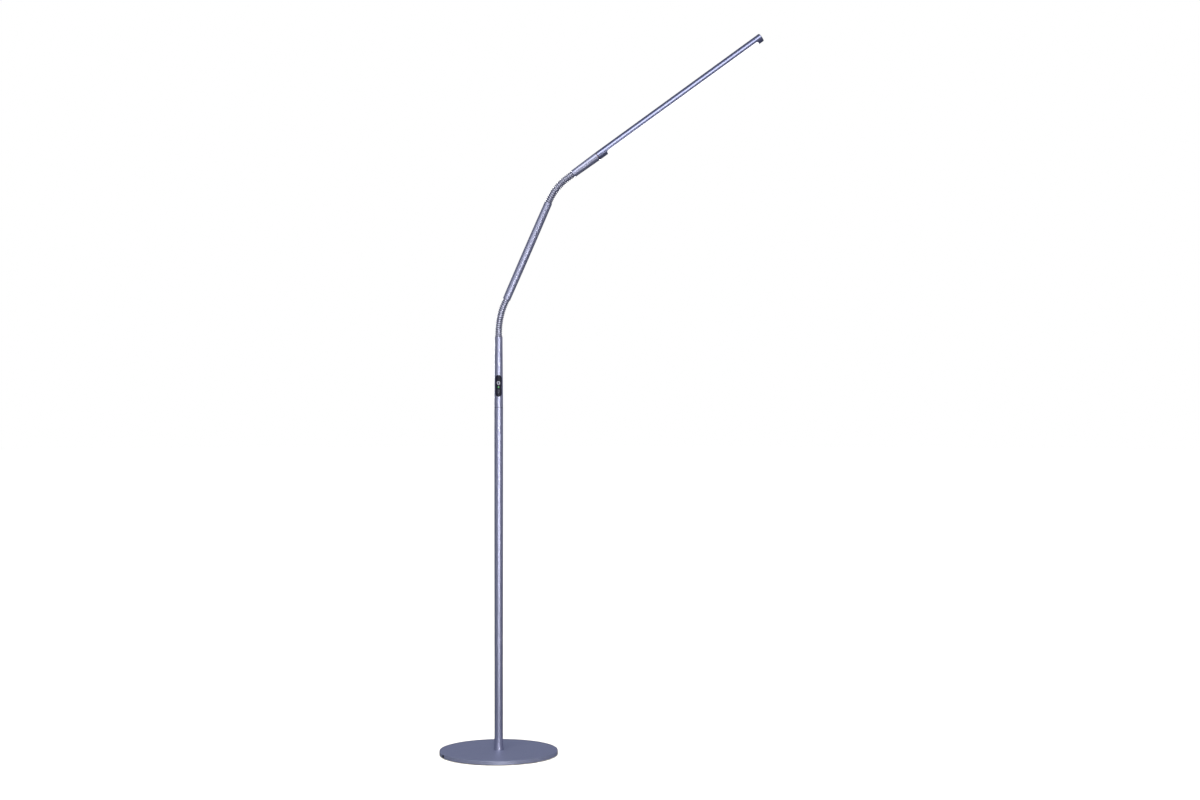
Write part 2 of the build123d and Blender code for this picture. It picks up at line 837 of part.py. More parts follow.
diffuser_radius = head_radius - diffuser_setback
with BuildPart() as diffuser:
    # bowed cover that fills the window
    with BuildSketch(head_across.offset(window_start)):
        Circle(diffuser_radius)
    extrude(amount=window_end - window_start)
    extrude(light_window(pocket_clearance), amount=head_diameter, both=True, mode=Mode.INTERSECT)
    # hollow it between its solid ends
    with BuildSketch(head_across.offset(window_start + diffuser_end_wall)):
        Circle(diffuser_radius - diffuser_wall)
    extrude(amount=window_end - window_start - 2 * diffuser_end_wall, mode=Mode.SUBTRACT)
    # lips that clip up into the housing
    with BuildSketch(head_across.offset(window_start + diffuser_end_wall)):
        lip_foot = window_floor + diffuser_lip_width
        lip_top = web_floor + pocket_clearance
        for side in (-1, 1):
            with Locations((side * (diffuser_lip_inset + diffuser_lip_width / 2), -lip_foot)):
                Rectangle(
                    diffuser_lip_width, lip_foot - lip_top, align=(Align.CENTER, Align.MIN)
                )
    extrude(amount=window_end - window_start - 2 * diffuser_end_wall)
save(diffuser.part, "diffuser")

board_run = window_end - window_start - 2 * led_board_end_margin
board_middle = window_start + led_board_end_margin + board_run / 2
with BuildPart() as led_board:
    with BuildSketch(head_across.offset(board_middle - board_run / 2)):
        with Locations((0, -web_floor)):
            Rectangle(led_board_width, led_board_thickness, align=(Align.CENTER, Align.MAX))
    extrude(amount=board_run)
save(led_board.part, "led_board")

chip_seat = web_floor + led_board_thickness
chip_plane = Plane(
    origin=head_start + heading(head_angle) * board_middle + heading(head_angle - 90) * chip_seat,
    x_dir=heading(head_angle),
    z_dir=heading(head_angle - 90),
)
with BuildPart() as led_chips:
    with BuildSketch(chip_plane):
        with GridLocations(board_run / led_chip_count, 1, led_chip_count, 1):
            Rectangle(led_chip_length, led_chip_width)
    extrude(amount=led_chip_height)
save(led_chips.part, "led_chips")
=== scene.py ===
import json
import math

import bmesh
import bpy
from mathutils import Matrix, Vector


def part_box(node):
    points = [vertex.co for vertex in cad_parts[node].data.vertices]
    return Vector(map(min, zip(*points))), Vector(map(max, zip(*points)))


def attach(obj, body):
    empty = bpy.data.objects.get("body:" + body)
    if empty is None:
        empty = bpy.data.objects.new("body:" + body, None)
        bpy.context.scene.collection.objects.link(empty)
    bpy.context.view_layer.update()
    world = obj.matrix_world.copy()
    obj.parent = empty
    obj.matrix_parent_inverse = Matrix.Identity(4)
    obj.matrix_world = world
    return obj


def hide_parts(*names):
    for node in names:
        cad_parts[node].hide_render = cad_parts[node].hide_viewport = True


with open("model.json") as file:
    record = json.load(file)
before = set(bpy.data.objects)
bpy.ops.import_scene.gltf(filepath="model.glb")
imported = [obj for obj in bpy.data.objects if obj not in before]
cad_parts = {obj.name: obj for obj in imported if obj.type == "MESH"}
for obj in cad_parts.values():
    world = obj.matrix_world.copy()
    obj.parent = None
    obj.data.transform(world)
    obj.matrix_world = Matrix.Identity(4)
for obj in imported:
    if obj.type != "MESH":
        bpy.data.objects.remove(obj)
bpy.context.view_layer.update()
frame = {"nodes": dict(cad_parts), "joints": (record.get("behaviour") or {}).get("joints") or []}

# Gooseneck reading floor lamp: finishes, ribbed necks, small details and a plain studio.
# Metres, in the frame of the construction: +Z up, arm and head lean towards +X, control
# panel faces -Y, origin at the centre of the base's underside.

MM = 0.001

nodes = frame["nodes"]
hinges = {joint["child"]: joint for joint in frame["joints"] if joint["type"] == "hinge"}
pivots = {body: Vector(joint["pos_m"]) for body, joint in hinges.items()}

arm_heading = (pivots["upper_neck_link_01"] - pivots["arm"]).normalized()
head_heading = Vector(hinges["head"]["axis"])
UPRIGHT = Vector((0, 0, 1))

# ---------------------------------------------------------------- camera

PHOTO_WIDTH, PHOTO_HEIGHT = 1200, 800
LAMP_PIXEL = (498.7, 754.1)  # where the lamp's origin stands in the photograph
PIXEL = 2.081 * MM  # size of a photographed pixel at the pole
CAMERA_DISTANCE = 3.85
SENSOR_WIDTH = 36.0
SIGHT = 50.0  # past the far edge of the floor


def make_camera():
    """Level camera in front of the lamp, framed as the photograph."""
    camera = bpy.data.objects.new("camera", bpy.data.cameras.new("camera"))
    bpy.context.scene.collection.objects.link(camera)
    across = (PHOTO_WIDTH / 2 - LAMP_PIXEL[0]) * PIXEL
    height = (LAMP_PIXEL[1] - PHOTO_HEIGHT / 2) * PIXEL
    camera.location = (across, -CAMERA_DISTANCE, height)
    camera.rotation_euler = (math.radians(90), 0, 0)
    camera.data.sensor_width = SENSOR_WIDTH
    camera.data.lens = SENSOR_WIDTH * CAMERA_DISTANCE / (PHOTO_WIDTH * PIXEL)
    camera.data.clip_end = SIGHT
    bpy.context.scene.camera = camera


# ---------------------------------------------------------------- node trees

NOISE_LOW, NOISE_HIGH = 0.3, 0.7  # the part of the noise's range that its values fill


def linear(code):
    """Linear colour of an sRGB hex code."""
    channels = [int(code[place:place + 2], 16) / 255 for place in (1, 3, 5)]
    lit = [c / 12.92 if c <= 0.04045 else ((c + 0.055) / 1.055) ** 2.4 for c in channels]
    return (*lit, 1.0)


def add(tree, kind, inputs=None, **settings):
    """Add a node with its settings; each input takes a value or a link from a socket."""
    node = tree.nodes.new(kind)
    for name, value in settings.items():
        setattr(node, name, value)
    for name, value in (inputs or {}).items():
        if isinstance(value, bpy.types.NodeSocket):
            tree.links.new(value, node.inputs[name])
        else:
            node.inputs[name].default_value = value
    return node


def start_material(name, colour, **inputs):
    """Material with one principled shader; inputs are written with _ for a space."""
    material = bpy.data.materials.new(name)
    material.use_nodes = True
    tree = material.node_tree
    tree.nodes.clear()
    shader = add(tree, "ShaderNodeBsdfPrincipled", {"Base Color": linear(colour)})
    for key, value in inputs.items():
        shader.inputs[key.replace("_", " ")].default_value = value
    add(tree, "ShaderNodeOutputMaterial", {"Surface": shader.outputs[0]})
    return material, tree, shader


def grain(tree, size, along=UPRIGHT, stretch=1.0, detail=2.0):
    """Noise in real sizes: one grain is size wide and stretch times as long along a line."""
    place = add(tree, "ShaderNodeTexCoord").outputs["Object"]
    turned = add(
        tree,
        "ShaderNodeMapping",
        {
            "Vector": place,
            "Rotation": UPRIGHT.rotation_difference(along).to_euler(),
            "Scale": (1, 1, stretch),
        },
        vector_type="TEXTURE",
    )
    noise = add(
        tree,
        "ShaderNodeTexNoise",
        {"Vector": turned.outputs[0], "Scale": 1 / size, "Detail": detail},
    )
    return noise.outputs["Fac"]


def vary_colour(tree, shader, pattern, dark, light):
    """Let a pattern move the base colour between two near shades."""
    ramp = add(tree, "ShaderNodeValToRGB", {"Fac": pattern})
    for stop, place, shade in zip(ramp.color_ramp.elements, (NOISE_LOW, NOISE_HIGH), (dark, light)):
        stop.position = place
        stop.color = linear(shade)
    tree.links.new(ramp.outputs["Color"], shader.inputs["Base Color"])


def vary_roughness(tree, shader, pattern, low, high):
    """Let a pattern move the roughness between two values."""
    spread = add(
        tree,
        "ShaderNodeMapRange",
        {
            "Value": pattern,
            "From Min": NOISE_LOW,
            "From Max": NOISE_HIGH,
            "To Min": low,
            "To Max": high,
        },
    )
    tree.links.new(spread.outputs["Result"], shader.inputs["Roughness"])


def lay_over(tree, shader, colour, share):
    """Lay a colour over the base colour, by a share from 0 to 1 that a socket gives."""
    mixed = add(
        tree,
        "ShaderNodeMix",
        {
            "Factor": share,
            "A": shader.inputs["Base Color"].links[0].from_socket,
            "B": linear(colour),
        },
        data_type="RGBA",
    )
    tree.links.new(mixed.outputs["Result"], shader.inputs["Base Color"])


def raise_surface(tree, shader, pattern, depth):
    """Let a pattern stand out of the surface by a depth in metres."""
    bump = add(tree, "ShaderNodeBump", {"Height": pattern, "Distance": depth})
    tree.links.new(bump.outputs["Normal"], shader.inputs["Normal"])


# ---------------------------------------------------------------- finishes

JOINT_SHADOW = 0.7 * MM  # height of the line that stands for the shadow
GROOVE_REACH = 2.5 * MM  # from a groove to the ribs beside it
GROOVE_SAMPLES = 8
GROOVE_SHUT, GROOVE_OPEN = 0.35, 0.85  # openness at which the painted groove shade is full and is gone


def darken_joint(tree, shader, height):
    """Draw the shadow that lies in a butt joint as a fine dark line round the tube."""
    place = add(tree, "ShaderNodeTexCoord").outputs["Object"]
    rise = add(tree, "ShaderNodeSeparateXYZ", {"Vector": place}).outputs["Z"]
    inside = add(
        tree,
        "ShaderNodeMath",
        {0: rise, 1: height, 2: JOINT_SHADOW / 2},
        operation="COMPARE",
    )
    lay_over(tree, shader, "#55576A", inside.outputs[0])


def silver_lacquer(name, along, joint=None):
    """Aluminium-flake lacquer sprayed on drawn steel tube: satin, with a cool violet cast,
    a faint orange peel and a trace of the draw lines beneath."""
    material, tree, shader = start_material(
        name, "#B9BBD2", Metallic=0.8, Roughness=0.46, Coat_Weight=0.12, Coat_Roughness=0.3
    )
    vary_colour(tree, shader, grain(tree, 0.5 * MM), "#B3B5CE", "#BFC1D7")
    vary_roughness(tree, shader, grain(tree, 3 * MM, along, 12), 0.44, 0.48)
    raise_surface(tree, shader, grain(tree, 1.4 * MM, along, 1.5), 0.012 * MM)
    if joint is not None:
        darken_joint(tree, shader, joint)
    return material


def base_lacquer():
    """The same lacquer in a duller, finely textured coat on the heavy steel plate."""
    material, tree, shader = start_material(
        "base_lacquer", "#C9CDE4", Metallic=0.5, Roughness=0.42
    )
    vary_colour(tree, shader, grain(tree, 0.7 * MM, detail=4), "#C3C7E0", "#CFD2E8")
    vary_roughness(tree, shader, grain(tree, 25 * MM), 0.4, 0.45)
    raise_surface(tree, shader, grain(tree, 0.9 * MM, detail=4), 0.04 * MM)
    return material


def paint_groove_shade(tree, shader):
    """Paint shade into the grooves between the ribs: whatever lies deep, by its ambient occlusion,
    is darkened.
    """
    openness = add(
        tree,
        "ShaderNodeAmbientOcclusion",
        {"Distance": GROOVE_REACH},
        samples=GROOVE_SAMPLES,
    )
    depth = add(
        tree,
        "ShaderNodeMapRange",
        {
            "Value": openness.outputs["AO"],
            "From Min": GROOVE_SHUT,
            "From Max": GROOVE_OPEN,
            "To Min": 1.0,
            "To Max": 0.0,
        },
    )
    # painted shade: deep places between the ribs are darkened towards a dark violet grey
    lay_over(tree, shader, "#3E3F52", depth.outputs["Result"])


def satin_chrome():
    """Satin-plated wound steel of the necks: brighter than the lacquer, with draw marks."""
    material, tree, shader = start_material(
        "satin_chrome", "#D3D4E6", Metallic=0.85, Roughness=0.42
    )
    vary_colour(tree, shader, grain(tree, 1.5 * MM), "#CCCDE1", "#D9DAEA")
    # painted shade in the grooves between the ribs
    paint_groove_shade(tree, shader)
    vary_roughness(tree, shader, grain(tree, 0.8 * MM), 0.4, 0.45)
    raise_surface(tree, shader, grain(tree, 0.6 * MM), 0.003 * MM)
    return material


def anodised_aluminium():
    """Silver-anodised extrusion of the head: fine die lines run its whole length."""
    material, tree, shader = start_material(
        "anodised_aluminium", "#9A9EBC", Metallic=0.85, Roughness=0.35
    )
    die_lines = grain(tree, 0.35 * MM, head_heading, 120, detail=3)
    vary_colour(tree, shader, die_lines, "#9397B6", "#A1A5C2")
    vary_roughness(tree, shader, die_lines, 0.33, 0.39)
    raise_surface(tree, shader, die_lines, 0.01 * MM)
    return material


def zinc_plated_steel():
    """Zinc-plated turned steel: a cool grey with a soft spangle."""
    material, tree, shader = start_material(
        "zinc_plated_steel", "#B9BCBE", Metallic=1.0, Roughness=0.34
    )
    vary_colour(tree, shader, grain(tree, 2.5 * MM), "#AEB2B5", "#C4C6C7")
    vary_roughness(tree, shader, grain(tree, 0.9 * MM), 0.28, 0.42)
    raise_surface(tree, shader, grain(tree, 0.3 * MM, stretch=0.1), 0.01 * MM)
    return material


def nickel_plating():
    """Bright nickel on the inlet's contact pin, with light wear from the plug."""
    material, tree, shader = start_material(
        "nickel_plating", "#D5D1C8", Metallic=1.0, Roughness=0.16
    )
    vary_roughness(tree, shader, grain(tree, 0.4 * MM), 0.12, 0.24)
    return material


def sintered_bronze():
    """Sintered bronze of the swivel's washer and bush: brown, porous, a little oily."""
    material, tree, shader = start_material(
        "sintered_bronze", "#7A5E4C", Metallic=0.8, Roughness=0.45
    )
    pores = grain(tree, 0.25 * MM, detail=4)
    vary_colour(tree, shader, pores, "#5E4638", "#8B6D59")
    raise_surface(tree, shader, pores, 0.03 * MM)
    return material


def moulded_plastic(name, dark, light, roughness, spark, sheen=0.5):
    """Injection-moulded plastic with the fine spark texture of its mould."""
    material, tree, shader = start_material(
        name, dark, Roughness=roughness, Specular_IOR_Level=sheen
    )
    texture = grain(tree, spark, detail=3)
    vary_colour(tree, shader, texture, dark, light)
    vary_roughness(tree, shader, texture, roughness - 0.05, roughness + 0.05)
    raise_surface(tree, shader, texture, 0.015 * MM)
    return material


def lit_plastic(name, colour, glow, strength, roughness):
    """Clear or opal plastic with a light behind it; it glows evenly."""
    material, tree, shader = start_material(
        name, colour, Roughness=roughness, Emission_Color=linear(glow), Emission_Strength=strength
    )
    raise_surface(tree, shader, grain(tree, 0.8 * MM), 0.01 * MM)
    return material


def white_solder_mask():
    """White solder mask on the circuit boards, with a slight mottle over the copper."""
    material, tree, shader = start_material("white_solder_mask", "#E6E8E4", Roughness=0.3)
    vary_colour(tree, shader, grain(tree, 2 * MM), "#DCDFDA", "#ECEEEA")
    return material


def vinyl_jacket():
    """Soft black vinyl of the leads, with faint extrusion marks."""
    material, tree, shader = start_material("vinyl_jacket", "#17171A", Roughness=0.45)
    vary_colour(tree, shader, grain(tree, 1.5 * MM, stretch=10), "#121215", "#1E1E22")
    raise_surface(tree, shader, grain(tree, 0.5 * MM, stretch=20), 0.01 * MM)
    return material


def moulded_rubber():
    """Black rubber of the base's pad: dull, dusty in its texture."""
    material, tree, shader = start_material("moulded_rubber", "#0E0E12", Roughness=0.8)
    texture = grain(tree, 0.8 * MM, detail=4)
    vary_colour(tree, shader, texture, "#0A0A0D", "#17171C")
    raise_surface(tree, shader, texture, 0.05 * MM)
    return material


def printed_ink():
    """Light grey pad-printed ink of the marks on the controls."""
    material, tree, shader = start_material("printed_ink", "#B9B7C6", Roughness=0.5)
    vary_colour(tree, shader, grain(tree, 0.2 * MM), "#ACAABB", "#C4C2D0")
    return material


tube_lacquer = silver_lacquer("silver_lacquer", UPRIGHT, joint=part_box("control_tube")[0][2])
arm_lacquer = silver_lacquer("silver_lacquer_arm", arm_heading)
socket_lacquer = silver_lacquer("silver_lacquer_socket", head_heading)
plate_lacquer = base_lacquer()
neck_chrome = satin_chrome()
head_aluminium = anodised_aluminium()
zinc_steel = zinc_plated_steel()
pin_nickel = nickel_plating()
bronze = sintered_bronze()
black_nylon = moulded_plastic("black_nylon", "#101014", "#1B1B21", 0.5, 0.5 * MM)
panel_abs = moulded_plastic("panel_abs", "#1C1C28", "#272735", 0.5, 0.4 * MM, 0.2)
button_silicone = moulded_plastic("button_silicone", "#262632", "#31313F", 0.55, 0.4 * MM, 0.2)
ring_plastic = lit_plastic("ring_polycarbonate", "#C9CAD6", "#D5D6E2", 0.25, 0.3)
indicator_plastic = lit_plastic("indicator_green", "#3FAE4A", "#4FC455", 0.55, 0.15)
opal_acrylic = lit_plastic("opal_acrylic", "#F7F7F5", "#FFFFFF", 1.0, 0.35)
phosphor = lit_plastic("phosphor_chip", "#F3E08A", "#FFF6DA", 1.0, 0.4)
solder_mask = white_solder_mask()
vinyl = vinyl_jacket()
rubber = moulded_rubber()
ink = printed_ink()

FINISHES = {
    "base_plate": plate_lacquer,
    "base_pad": rubber,
    "dc_inlet": black_nylon,
    "dc_contact_pin": pin_nickel,
    "pole_leads": vinyl,
    "arm_lead": vinyl,
    "pole_stud": zinc_steel,
    "pole_foot": zinc_steel,
    "pole_spigot": zinc_steel,
    "swivel_stem": zinc_steel,
    "stem_nut": zinc_steel,
    "pole_collar": tube_lacquer,
    "lower_pole": tube_lacquer,
    "control_tube": tube_lacquer,
    "arm_tube": arm_lacquer,
    "head_socket": socket_lacquer,
    "control_panel": panel_abs,
    "control_board": solder_mask,
    "led_board": solder_mask,
    "tact_switches": black_nylon,
    "indicator_lens": indicator_plastic,
    "power_ring": ring_plastic,
    "power_button": button_silicone,
    "dimmer_button": button_silicone,
    "lower_neck_ferrule": neck_chrome,
    "arm_lower_ferrule": neck_chrome,
    "arm_upper_ferrule": neck_chrome,
    "socket_ferrule": neck_chrome,
    "swivel_bush": bronze,
    "swivel_washer": bronze,
    "head_housing": head_aluminium,
    "head_tip_cap": head_aluminium,
    "diffuser": opal_acrylic,
    "led_chips": phosphor,
}


def finish_nodes():
    """Give every piece of the construction its finish; the neck links share one."""
    for name, piece in nodes.items():
        finish = FINISHES.get(name, neck_chrome)
        for place in range(len(piece.material_slots)):
            piece.material_slots[place].material = finish


# ---------------------------------------------------------------- studio

FILL_COLOUR = "#C9D0EC"
FILL_STRENGTH = 0.5
FLOOR_COLOUR = (0.25, 0.25, 0.26, 1)
FLOOR_RADIUS = 25.0
FLOOR_SIDES = 96
FLOOR_WHITE = 1.03  # what the camera sees of floor that the fill alone lights
CLOTH_COLOUR = "#B9C2E6"
CLOTH_GLOW = 0.2
TENT_RADIUS = 4.5
TENT_SIDES = 64
GOBO_WIDTH = (-1.5, 2.0)
GOBO_HEIGHT = (0.98, 1.6)
GOBO_DISTANCE = 1.5
SOFTBOXES = {  # place, aim, size, watts, and spread in degrees
    "key": ((-0.45, -2.6, 2.9), (0.2, 0, 1.1), (2.2, 1.2), 48.0, 180),
    "front": ((0.75, -3.0, 0.8), (0, 0, 0.78), (1.6, 0.9), 2.5, 35),
    "low": ((0.35, -2.3, 0.2), (0, 0, 0.03), (0.6, 0.25), 6.0, 180),
    "rear": ((-0.4, 3.2, 1.05), (0.15, 0, 0.95), (1.8, 0.4), 4.5, 26),
}


def make_world():
    """White wherever the background or its reflection is seen, and a dim fill elsewhere."""
    world = bpy.data.worlds.new("studio")
    bpy.context.scene.world = world
    world.use_nodes = True
    tree = world.node_tree
    tree.nodes.clear()
    path = add(tree, "ShaderNodeLightPath")
    seen = add(
        tree,
        "ShaderNodeMath",
        {0: path.outputs["Is Camera Ray"], 1: path.outputs["Is Glossy Ray"]},
        operation="MAXIMUM",
    )
    seen = add(
        tree,
        "ShaderNodeMath",
        {0: seen.outputs[0], 1: path.outputs["Is Transmission Ray"]},
        operation="MAXIMUM",
    )
    fill = add(
        tree, "ShaderNodeBackground", {"Color": linear(FILL_COLOUR), "Strength": FILL_STRENGTH}
    )
    white = add(tree, "ShaderNodeBackground", {"Color": (1, 1, 1, 1), "Strength": 1.0})
    mixed = add(
        tree,
        "ShaderNodeMixShader",
        {0: seen.outputs[0], 1: fill.outputs[0], 2: white.outputs[0]},
    )
    add(tree, "ShaderNodeOutputWorld", {"Surface": mixed.outputs[0]})


def make_floor():
    """Plain white floor that meets the white background and keeps the lamp's shadow."""
    mesh = bpy.data.meshes.new("floor")
    disc = bmesh.new()
    bmesh.ops.create_circle(disc, cap_ends=True, segments=FLOOR_SIDES, radius=FLOOR_RADIUS)
    disc.to_mesh(mesh)
    disc.free()
    floor = bpy.data.objects.new("floor", mesh)
    bpy.context.scene.collection.objects.link(floor)
    material = bpy.data.materials.new("white_floor")
    material.use_nodes = True
    tree = material.node_tree
    tree.nodes.clear()
    path = add(tree, "ShaderNodeLightPath")
    plain = add(tree, "ShaderNodeBsdfDiffuse", {"Color": FLOOR_COLOUR})
    lift = [FLOOR_WHITE / (FILL_STRENGTH * part) for part in linear(FILL_COLOUR)[:3]]
    lifted = add(tree, "ShaderNodeBsdfDiffuse", {"Color": (*lift, 1)})
    mixed = add(
        tree,
        "ShaderNodeMixShader",
        {0: path.outputs["Is Camera Ray"], 1: plain.outputs[0], 2: lifted.outputs[0]},
    )
    add(tree, "ShaderNodeOutputMaterial", {"Surface": mixed.outputs[0]})
    mesh.materials.append(material)


def grey_card(name, mesh):
    """Grey cloth that only reflections and, where it blocks a lamp, shadows know of."""
    card = bpy.data.objects.new(name, mesh)
    bpy.context.scene.collection.objects.link(card)
    material = bpy.data.materials.new(name + "_cloth")
    material.use_nodes = True
    tree = material.node_tree
    tree.nodes.clear()
    glow = add(
        tree, "ShaderNodeEmission", {"Color": linear(CLOTH_COLOUR), "Strength": CLOTH_GLOW}
    )
    add(tree, "ShaderNodeOutputMaterial", {"Surface": glow.outputs[0]})
    mesh.materials.append(material)
    card.visible_camera = False
    card.visible_diffuse = False
    card.visible_transmission = False
    return card


def make_tent():
    """Grey tent round the set, which gives the bright metal its dark edges."""
    mesh = bpy.data.meshes.new("tent")
    shell = bmesh.new()
    bmesh.ops.create_uvsphere(
        shell, u_segments=TENT_SIDES, v_segments=TENT_SIDES // 2, radius=TENT_RADIUS
    )
    buried = [face for face in shell.faces if face.calc_center_median().z < 0]
    bmesh.ops.delete(shell, geom=buried, context="FACES")
    shell.to_mesh(mesh)
    shell.free()
    grey_card("tent", mesh).visible_shadow = False


def make_gobo():
    """Upright card that keeps the front softbox off the head."""
    mesh = bpy.data.meshes.new("gobo")
    panel = bmesh.new()
    (left, right), (low, high) = GOBO_WIDTH, GOBO_HEIGHT
    corners = ((left, low), (right, low), (right, high), (left, high))
    panel.faces.new([panel.verts.new((x, -GOBO_DISTANCE, z)) for x, z in corners])
    panel.to_mesh(mesh)
    panel.free()
    grey_card("gobo", mesh)


def make_softbox(name, place, aim, size, power, spread):
    """White rectangular softbox that looks at a point."""
    lamp = bpy.data.lights.new(name, "AREA")
    lamp.shape = "RECTANGLE"
    lamp.size, lamp.size_y = size
    lamp.energy = power
    lamp.spread = math.radians(spread)
    softbox = bpy.data.objects.new(name, lamp)
    bpy.context.scene.collection.objects.link(softbox)
    softbox.location = place
    softbox.rotation_euler = (Vector(aim) - Vector(place)).to_track_quat("-Z", "Y").to_euler()


# ---------------------------------------------------------------- turned pieces

SMOOTH_ANGLE = math.radians(35)  # edges that turn more than this stay crisp

LINKS_PER_NECK = 13
RIB_PITCH = (pivots["lower_neck_link_02"] - pivots["lower_neck_link_01"]).length
NECK_RADIUS = 7.25 * MM
NECK_BORE = 4.6 * MM
RIB_CROWN = 0.95 * MM
RIB_GAP = 1.22 * MM
RIB_CORNER = 0.15 * MM
RIB_CROWN_SHARE = 0.94  # how much of the crown's arc is left between the broken corners
RIB_CROWN_STEPS = 12
BALL_RADIUS = 5.6 * MM
BALL_REACH = 1.6 * MM
BALL_STEPS = 8
BALL_SOCKET_RADIUS = 5.8 * MM
BALL_SOCKET_DEPTH = 2.66 * MM
LINK_SIDES = 96

PAD_BORE = 6.0 * MM
PAD_EDGE = 0.3 * MM
PAD_EDGE_STEPS = 4
PAD_GROOVE_PITCH = 8.0 * MM
PAD_GROOVE_WIDTH = 2.0 * MM
PAD_GROOVE_DEPTH = 0.5 * MM
PAD_SIDES = 256


def input_sockets(tree, sockets):
    """Name a tree's inputs and give it one geometry output."""
    for name, kind in sockets.items():
        tree.interface.new_socket(name, in_out="INPUT", socket_type="NodeSocket" + kind)
    tree.interface.new_socket("Geometry", in_out="OUTPUT", socket_type="NodeSocketGeometry")
    return tree.nodes.new("NodeGroupInput").outputs


def turning_tree():
    """Tree that turns a closed section on a lathe: it goes once round an upright axis."""
    tree = bpy.data.node_groups.new("turning", "GeometryNodeTree")
    given = input_sockets(
        tree,
        {
            "Section": "Geometry",
            "Lathe Radius": "Float",
            "Sides": "Int",
            "Smooth Angle": "Float",
            "Finish": "Material",
        },
    )
    path = add(
        tree,
        "GeometryNodeCurvePrimitiveCircle",
        {"Resolution": given["Sides"], "Radius": given["Lathe Radius"]},
    )
    level = add(tree, "GeometryNodeSetCurveNormal", {"Curve": path.outputs["Curve"]}, mode="Z_UP")
    turned = add(
        tree,
        "GeometryNodeCurveToMesh",
        {"Curve": level.outputs["Curve"], "Profile Curve": given["Section"]},
    )
    corner = add(tree, "GeometryNodeInputMeshEdgeAngle")
    gentle = add(
        tree,
        "FunctionNodeCompare",
        {0: corner.outputs["Unsigned Angle"], 1: given["Smooth Angle"]},
        operation="LESS_THAN",
    )
    smooth = add(tree, "GeometryNodeSetShadeSmooth", {"Geometry": turned.outputs[0]}, domain="FACE")
    crisp = add(
        tree,
        "GeometryNodeSetShadeSmooth",
        {"Geometry": smooth.outputs[0], "Shade Smooth": gentle.outputs["Result"]},
        domain="EDGE",
    )
    solid = add(tree, "GeometryNodeRealizeInstances", {"Geometry": crisp.outputs[0]})
    finished = add(
        tree,
        "GeometryNodeSetMaterial",
        {"Geometry": solid.outputs[0], "Material": given["Finish"]},
    )
    add(tree, "NodeGroupOutput", {"Geometry": finished.outputs[0]})
    return tree


def turn(name, tree, section, sides, finish):
    """Mesh that the lathe makes of a section, given as radii and heights."""
    lathe_radius = section[0][0]
    outline = bpy.data.curves.new(name + "_section", "CURVE")
    outline.dimensions = "3D"
    spline = outline.splines.new("POLY")
    spline.points.add(len(section) - 1)
    for point, (radius, height) in zip(spline.points, reversed(section)):
        point.co = (radius - lathe_radius, -height, 0, 1)
    spline.use_cyclic_u = True
    blank = bpy.data.objects.new(name + "_blank", outline)
    bpy.context.scene.collection.objects.link(blank)
    modifier = blank.modifiers.new("turning", "NODES")
    modifier.node_group = tree
    values = {
        "Lathe Radius": lathe_radius,
        "Sides": sides,
        "Smooth Angle": SMOOTH_ANGLE,
        "Finish": finish,
    }
    for item in tree.interface.items_tree:
        if item.in_out == "INPUT" and item.name in values:
            modifier[item.identifier] = values[item.name]
    depsgraph = bpy.context.evaluated_depsgraph_get()
    mesh = bpy.data.meshes.new_from_object(blank.evaluated_get(depsgraph))
    mesh.name = name
    bpy.data.objects.remove(blank)
    return mesh


def arc(centre, radius, start, end, steps):
    """Points on an arc of a section, from one angle to another."""
    return [
        (
            centre[0] + radius * math.cos(start + (end - start) * step / steps),
            centre[1] + radius * math.sin(start + (end - start) * step / steps),
        )
        for step in range(steps + 1)
    ]


def link_section():
    """Half-section of a neck link about its lower pivot: a crowned rib with broken corners,
    hollowed below, and above it the ball skirt that the next link swings on."""
    low, high = RIB_GAP / 2, RIB_PITCH - RIB_GAP / 2
    face_radius = NECK_RADIUS - RIB_CROWN
    half_width = (high - low) / 2
    crown_radius = (half_width**2 + RIB_CROWN**2) / (2 * RIB_CROWN)
    lean = RIB_CROWN_SHARE * math.asin(half_width / crown_radius)
    crown_centre = (NECK_RADIUS - crown_radius, (low + high) / 2)
    foot_angle = math.asin(RIB_GAP / 2 / BALL_RADIUS)
    top_angle = math.asin(BALL_REACH / BALL_RADIUS)
    return (
        [(BALL_SOCKET_RADIUS, low), (face_radius - RIB_CORNER, low)]
        + arc(crown_centre, crown_radius, -lean, lean, RIB_CROWN_STEPS)
        + [(face_radius - RIB_CORNER, high)]
        + arc((0, RIB_PITCH), BALL_RADIUS, -foot_angle, top_angle, BALL_STEPS)
        + [
            (NECK_BORE, RIB_PITCH + BALL_REACH),
            (NECK_BORE, BALL_SOCKET_DEPTH),
            (BALL_SOCKET_RADIUS, BALL_SOCKET_DEPTH),
        ]
    )


def place_piece(mesh, name, pivot, heading, body, slot, *replaced):
    """Stand a turned mesh on a pivot, along a heading, and hang it on its body."""
    placed = mesh.copy()
    placed.name = name
    stand = UPRIGHT.rotation_difference(heading).to_matrix().to_4x4()
    stand.translation = pivot
    placed.transform(stand)
    piece = bpy.data.objects.new(name, placed)
    bpy.context.scene.collection.objects.link(piece)
    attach(piece, body)
    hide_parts(*replaced)


def make_neck_links(lathe):
    """The 26 moving links: one turned shape, stood on each link's own pivot."""
    link = turn("neck_link", lathe, link_section(), LINK_SIDES, neck_chrome)
    for neck, carried in (("lower_neck", "arm"), ("upper_neck", "socket")):
        bodies = [f"{neck}_link_{number:02d}" for number in range(1, LINKS_PER_NECK + 1)]
        for body, above in zip(bodies, bodies[1:] + [carried]):
            heading = (pivots[above] - pivots[body]).normalized()
            place_piece(link, body + "_turned", pivots[body], heading, body, "neck_metal", body)


